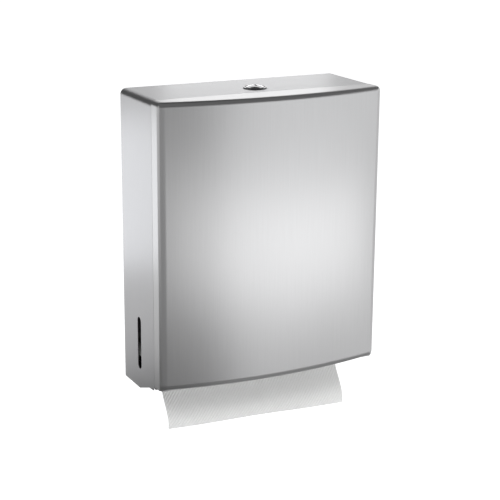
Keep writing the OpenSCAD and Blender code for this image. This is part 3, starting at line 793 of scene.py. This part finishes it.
# %% [markdown]
# ## Paper
# Folded towels are soft, off-white and embossed, so that the plies hold together. The paper is
# rough and has a faint sheen, darker and lighter places in its pulp, and rows of small raised ribs
# that cross. The ribs follow the sheet, so they are drawn on its own UV map, in metres of paper. A
# picture could carry such a pattern too, but two waves are sharp at any size. The stack shows only
# its edges, so it goes without ribs.

# %% Paper material
PULP_DARK, PULP_LIGHT = 0.94, 1.03
# Each row of ribs: direction in degrees, distance from rib to rib in metres, and strength.
RIBS = ((40.0, 0.0033, 0.5), (148.0, 0.0021, 0.1))
# A wave texture of scale 1 has a crest in every tenth of pi.
WAVE_CREST = math.pi / 10


def paper_material(name, colour, coordinates):
    """Towel paper. Only a sheet with its own UV map gets the embossed ribs."""
    paper, tree, shader = new_finish(name)
    shader.inputs["Roughness"].default_value = 0.9
    shader.inputs["Specular IOR Level"].default_value = 0.2
    shader.inputs["Sheen Weight"].default_value = 0.15
    where = add_node(tree, "ShaderNodeTexCoord").outputs[coordinates]
    fibres = add_node(tree, "ShaderNodeTexNoise", Scale=900.0, Detail=4.0, Roughness=0.7,
                      links={"Vector": where})
    pulp = add_node(tree, "ShaderNodeTexNoise", Scale=60.0, Detail=3.0, Roughness=0.6,
                    links={"Vector": where})
    tone = add_node(tree, "ShaderNodeMix", data_type="RGBA", A=toned(colour, PULP_DARK),
                    B=toned(colour, PULP_LIGHT), links={"Factor": pulp.outputs["Fac"]})
    tree.links.new(tone.outputs["Result"], shader.inputs["Base Color"])
    crepe = add_node(tree, "ShaderNodeBump", Strength=0.35, Distance=0.0001,
                     links={"Height": fibres.outputs["Fac"]})
    normal = crepe.outputs["Normal"]
    if coordinates == "UV":
        for angle, pitch, strength in RIBS:
            turn = add_node(tree, "ShaderNodeMapping", Rotation=(0, 0, math.radians(angle)),
                            links={"Vector": where})
            ribs = add_node(tree, "ShaderNodeTexWave", Scale=WAVE_CREST / pitch, Distortion=0.6,
                            links={"Vector": turn.outputs["Vector"]})
            emboss = add_node(tree, "ShaderNodeBump", Strength=strength, Distance=0.0007,
                              links={"Height": ribs.outputs["Fac"], "Normal": normal})
            normal = emboss.outputs["Normal"]
    tree.links.new(normal, shader.inputs["Normal"])
    return paper


sheet_paper = paper_material("embossed_paper", (0.80, 0.80, 0.79), "UV")
stack_paper = paper_material("stacked_paper", (0.78, 0.78, 0.76), "Object")
print("paper:", sheet_paper.name, "and", stack_paper.name)

# %% [markdown]
# ### The hanging towel
# The lowest towel has been pulled part of the way out, a little askew. Its free panel falls through
# the outlet, leans forward and ends in a slack wave, and the rest of the same sheet still lies
# folded on the tray under the stack. A cloth simulation could drop it, but stiff paper barely
# drapes. So it is one drawn sheet, followed from the free edge to the hidden one, and its length is
# exactly that of the real towel.

# %% Free panel of the hanging towel
TOWEL_W, TOWEL_LENGTH, PAPER_T = 242.0, 240.0, 0.4
TOP_D, LEAN, DROP, TOWEL_TOP = 56.0, 23.2, 62.7, 1.0
WAVE_DEPTH, WAVE_TURN = 1.0, math.radians(540)
ASKEW, SWING_START, SWING_LENGTH, SWING_ASKEW = 7.6, 9.0, 50.0, 6.0
FALL_STEPS, WIDTH_STEPS = 34, 60


def hanging_point(width_share, fall_share):
    """A point of the free panel, in drawing millimetres, from the outlet down to the free edge."""
    fall = (DROP + TOWEL_TOP + ASKEW * width_share) * fall_share
    swing = min(1.0, max(0.0, (fall - SWING_START - SWING_ASKEW * width_share) / SWING_LENGTH))
    lean = LEAN * swing * swing * (3 - 2 * swing)
    wave = WAVE_DEPTH * fall_share ** 2 * math.sin(WAVE_TURN * width_share)
    return (width_share - 0.5) * TOWEL_W, TOP_D + lean + wave, TOWEL_TOP - fall


panel_length = 0.0
for k in range(FALL_STEPS):
    _, d0, z0 = hanging_point(0.5, k / FALL_STEPS)
    _, d1, z1 = hanging_point(0.5, (k + 1) / FALL_STEPS)
    panel_length += math.hypot(d1 - d0, z1 - z0)
print("free panel", round(panel_length, 1), "mm long")

# %% Hidden folds of the hanging towel
# The sheet turns over the outlet's edge in three small steps, as depth and height from TOP_D and
# TOWEL_TOP. It then runs forwards, back and forwards again.
TURN_OVER = ((0.0, 0.15), (0.15, 0.28), (0.5, 0.35))
FOLDS_AT, FOLD_RISE, FOLD_STEPS, RUN_STEP = (81.4, 3.2, 90.0), 0.75, 6, 6


def folded_route(length):
    """The hidden part beside the panel, as depths and heights: three runs and round folds."""
    route = [(TOP_D + forwards, TOWEL_TOP + up) for forwards, up in TURN_OVER]
    start, level = route[-1]
    for end in FOLDS_AT:
        steps = max(2, int(abs(end - start) / RUN_STEP))
        route += [(start + (end - start) * k / steps, level) for k in range(1, steps + 1)]
        way = 1 if end > start else -1
        for k in range(1, FOLD_STEPS):
            turn = math.pi * k / FOLD_STEPS
            route.append((end + way * FOLD_RISE / 2 * math.sin(turn),
                          level + FOLD_RISE / 2 * (1 - math.cos(turn))))
        start, level = end, level + FOLD_RISE
    used, kept = 0.0, [route[0]]
    for (d0, z0), (d1, z1) in zip(route, route[1:]):
        step = math.hypot(d1 - d0, z1 - z0)
        if used + step >= length:
            share = (length - used) / step
            kept.append((d0 + (d1 - d0) * share, z0 + (z1 - z0) * share))
            return kept
        used += step
        kept.append((d1, z1))
    return kept


hidden = folded_route(TOWEL_LENGTH - panel_length - TURN_OVER[0][1])
print(len(hidden), "points on the hidden folds")

# %% The hanging towel's sheet
shares = [c / WIDTH_STEPS for c in range(WIDTH_STEPS + 1)]
rows = []
for k in range(FALL_STEPS + 1):
    rows.append([hanging_point(share, 1 - k / FALL_STEPS) for share in shares])
for depth, height in hidden:
    rows.append([((share - 0.5) * TOWEL_W, depth, height) for share in shares])
along = [0.0]
middle = WIDTH_STEPS // 2
for row0, row1 in zip(rows, rows[1:]):
    along.append(along[-1] + math.dist(row0[middle], row1[middle]))

net = bmesh.new()
flat = net.loops.layers.uv.new("sheet")
verts = [[net.verts.new(place(*p)) for p in row] for row in rows]
for r in range(len(rows) - 1):
    for c in range(WIDTH_STEPS):
        corners = ((c, r), (c + 1, r), (c + 1, r + 1), (c, r + 1))
        face = net.faces.new([verts[rr][cc] for cc, rr in corners])
        for loop, (cc, rr) in zip(face.loops, corners):
            loop[flat].uv = (shares[cc] * TOWEL_W / 1000, along[rr] / 1000)
towel = new_object("hanging_sheet", mesh_of_net("hanging_sheet", net))
towel.data.materials.append(sheet_paper)
paper_body = towel.modifiers.new("paper_thickness", "SOLIDIFY")
paper_body.thickness = PAPER_T / 1000
paper_body.offset = 0.0
flatten_modifiers(towel)
smooth_bends(towel, angle=50)
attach(towel, "cabinet")
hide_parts("hanging_towel")
print("towel sheet", round(along[-1], 1), "mm long in all")

# %% [markdown]
# ### The stack
# Above it lie the towels still to come, folded into each other, so that every other fold faces the
# door. One folded leaf is drawn, and Geometry Nodes lay its copies on a line, turn every other one
# round, and push each a little out of true, as a stack loaded by hand is. An Array modifier would
# lay them too, but all alike. A few leaves near the bottom stick out to the left, where the slot in
# the side shows them.

# %% One folded leaf
LEAF_H, LEAF_D, LEAF_T, LEAF_FOLD_STEPS = 1.86, 78.6, 0.45, 8
SWAY, SWAY_RATE, SWAY_START = 0.25, 2.2, 0.4
STATIONS = (-1.0, -0.6, -0.2, 0.2, 0.6, 1.0)


def leaf_outline():
    """Side view of a folded leaf about its middle: open at the rear and round in front."""
    rear, front, outer_r = -LEAF_D / 2, LEAF_D / 2, LEAF_H / 2
    inner_r = outer_r - LEAF_T
    outer, inner = [(rear, 0.0)], [(rear, LEAF_T)]
    for k in range(LEAF_FOLD_STEPS + 1):
        turn = math.pi * k / LEAF_FOLD_STEPS - math.pi / 2
        forwards, upwards = math.cos(turn), math.sin(turn)
        outer.append((front - outer_r + outer_r * forwards, outer_r + outer_r * upwards))
        inner.append((front - outer_r + inner_r * forwards, outer_r + inner_r * upwards))
    outer.append((rear, LEAF_H))
    inner.append((rear, LEAF_H - LEAF_T))
    return outer + inner[::-1]


net = bmesh.new()
outline = leaf_outline()
loops = []
for s in STATIONS:
    sway = SWAY * math.sin(SWAY_RATE * s + SWAY_START)
    loops.append([net.verts.new((s * TOWEL_W / 2000, -(d + sway) / 1000, z / 1000))
                  for d, z in outline])
for first, second in zip(loops, loops[1:]):
    for k in range(len(outline)):
        n = (k + 1) % len(outline)
        net.faces.new((first[k], second[k], second[n], first[n]))
for ring in (loops[0], loops[-1]):
    for k in range(len(outline) // 2 - 1):
        net.faces.new((ring[k], ring[k + 1], ring[-k - 2], ring[-k - 1]))
bmesh.ops.recalc_face_normals(net, faces=net.faces)
leaf_mesh = mesh_of_net("towel_stack_leaves", net)
print("one leaf has", len(leaf_mesh.polygons), "faces")

# %% Geometry Nodes that stack the leaves
STACK_INPUTS = {"Leaves": "Int", "Pitch": "Float", "Start": "Vector", "Wander": "Vector",
                "First out": "Int", "Last out": "Int", "Push": "Vector", "Seed": "Int",
                "Paper": "Material"}


def stack_tree():
    """Lays a leaf on every point of a rising line, with its named sizes as inputs."""
    tree = bpy.data.node_groups.new("stack_of_leaves", "GeometryNodeTree")
    sockets = tree.interface
    sockets.new_socket("Geometry", in_out="INPUT", socket_type="NodeSocketGeometry")
    for name, kind in STACK_INPUTS.items():
        sockets.new_socket(name, in_out="INPUT", socket_type="NodeSocket" + kind)
    sockets.new_socket("Geometry", in_out="OUTPUT", socket_type="NodeSocketGeometry")
    size = add_node(tree, "NodeGroupInput").outputs
    index = add_node(tree, "GeometryNodeInputIndex").outputs["Index"]

    # A line of points, one for each leaf.
    step = add_node(tree, "ShaderNodeCombineXYZ", links={"Z": size["Pitch"]})
    line = add_node(tree, "GeometryNodeMeshLine", mode="OFFSET", links={
        "Count": size["Leaves"], "Start Location": size["Start"], "Offset": step.outputs["Vector"]})

    # The leaves from the first out to the last out are pushed aside.
    after = add_node(tree, "FunctionNodeCompare", data_type="INT", operation="GREATER_EQUAL",
                     links={2: index, 3: size["First out"]})
    before = add_node(tree, "FunctionNodeCompare", data_type="INT", operation="LESS_EQUAL",
                      links={2: index, 3: size["Last out"]})
    out_of_line = add_node(tree, "FunctionNodeBooleanMath", operation="AND",
                           links={0: after.outputs["Result"], 1: before.outputs["Result"]})
    pushed = add_node(tree, "GeometryNodeSetPosition", links={
        "Geometry": line.outputs["Mesh"], "Selection": out_of_line.outputs["Boolean"],
        "Offset": size["Push"]})

    # Each leaf then wanders a little, by chance but the same in every run.
    back = add_node(tree, "ShaderNodeVectorMath", operation="SCALE", Scale=-1.0,
                    links={0: size["Wander"]})
    wander = add_node(tree, "FunctionNodeRandomValue", data_type="FLOAT_VECTOR", links={
        "Min": back.outputs["Vector"], "Max": size["Wander"], "Seed": size["Seed"], "ID": index})
    loose = add_node(tree, "GeometryNodeSetPosition", links={
        "Geometry": pushed.outputs["Geometry"], "Offset": wander.outputs["Value"]})

    # Every other leaf is turned round by half a turn.
    every_other = add_node(tree, "ShaderNodeMath", operation="MODULO", links={0: index})
    every_other.inputs[1].default_value = 2.0
    half_turn = add_node(tree, "ShaderNodeMath", operation="MULTIPLY",
                         links={0: every_other.outputs[0]})
    half_turn.inputs[1].default_value = math.pi
    turned = add_node(tree, "ShaderNodeCombineXYZ", links={"Z": half_turn.outputs[0]})
    laid = add_node(tree, "GeometryNodeInstanceOnPoints", links={
        "Points": loose.outputs["Geometry"], "Instance": size["Geometry"],
        "Rotation": turned.outputs["Vector"]})
    real = add_node(tree, "GeometryNodeRealizeInstances", links={
        "Geometry": laid.outputs["Instances"]})
    coated = add_node(tree, "GeometryNodeSetMaterial", links={
        "Geometry": real.outputs["Geometry"], "Material": size["Paper"]})
    add_node(tree, "NodeGroupOutput", links={"Geometry": coated.outputs["Geometry"]})
    return tree


leaf_stacking = stack_tree()
print(len(leaf_stacking.nodes), "nodes with", len(STACK_INPUTS), "named inputs")

# %% The stack of towels
STACK_MIDDLE_D, STACK_LOW, STACK_HIGH, WANTED_PITCH = 42.3, 3.6, 151.0, 1.92
WANDER, PUSH, FIRST_OUT, LAST_OUT, SEED = (0.0007, 0.0006, 0.0), (-0.017, 0.0, 0.0), 8, 9, 7


def set_inputs(modifier, values):
    """Sets a Geometry Nodes modifier's inputs by their sockets' identifiers."""
    for item in modifier.node_group.interface.items_tree:
        if item.item_type == "SOCKET" and item.in_out == "INPUT" and item.name in values:
            modifier[item.identifier] = values[item.name]


leaves = int((STACK_HIGH - STACK_LOW) / WANTED_PITCH)
pitch = (STACK_HIGH - STACK_LOW - LEAF_H) / (leaves - 1)
stack = new_object("towel_stack_leaves", leaf_mesh)
stacking = stack.modifiers.new("stacking", "NODES")
stacking.node_group = leaf_stacking
set_inputs(stacking, {"Leaves": leaves, "Pitch": pitch / 1000,
                      "Start": place(0, STACK_MIDDLE_D, STACK_LOW), "Wander": WANDER,
                      "First out": FIRST_OUT, "Last out": LAST_OUT, "Push": PUSH, "Seed": SEED,
                      "Paper": stack_paper})
flatten_modifiers(stack)
smooth_bends(stack, angle=40)
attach(stack, "cabinet")
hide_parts("towel_stack")
print(leaves, "leaves", round(pitch, 2), "mm apart:", len(stack.data.polygons), "faces")
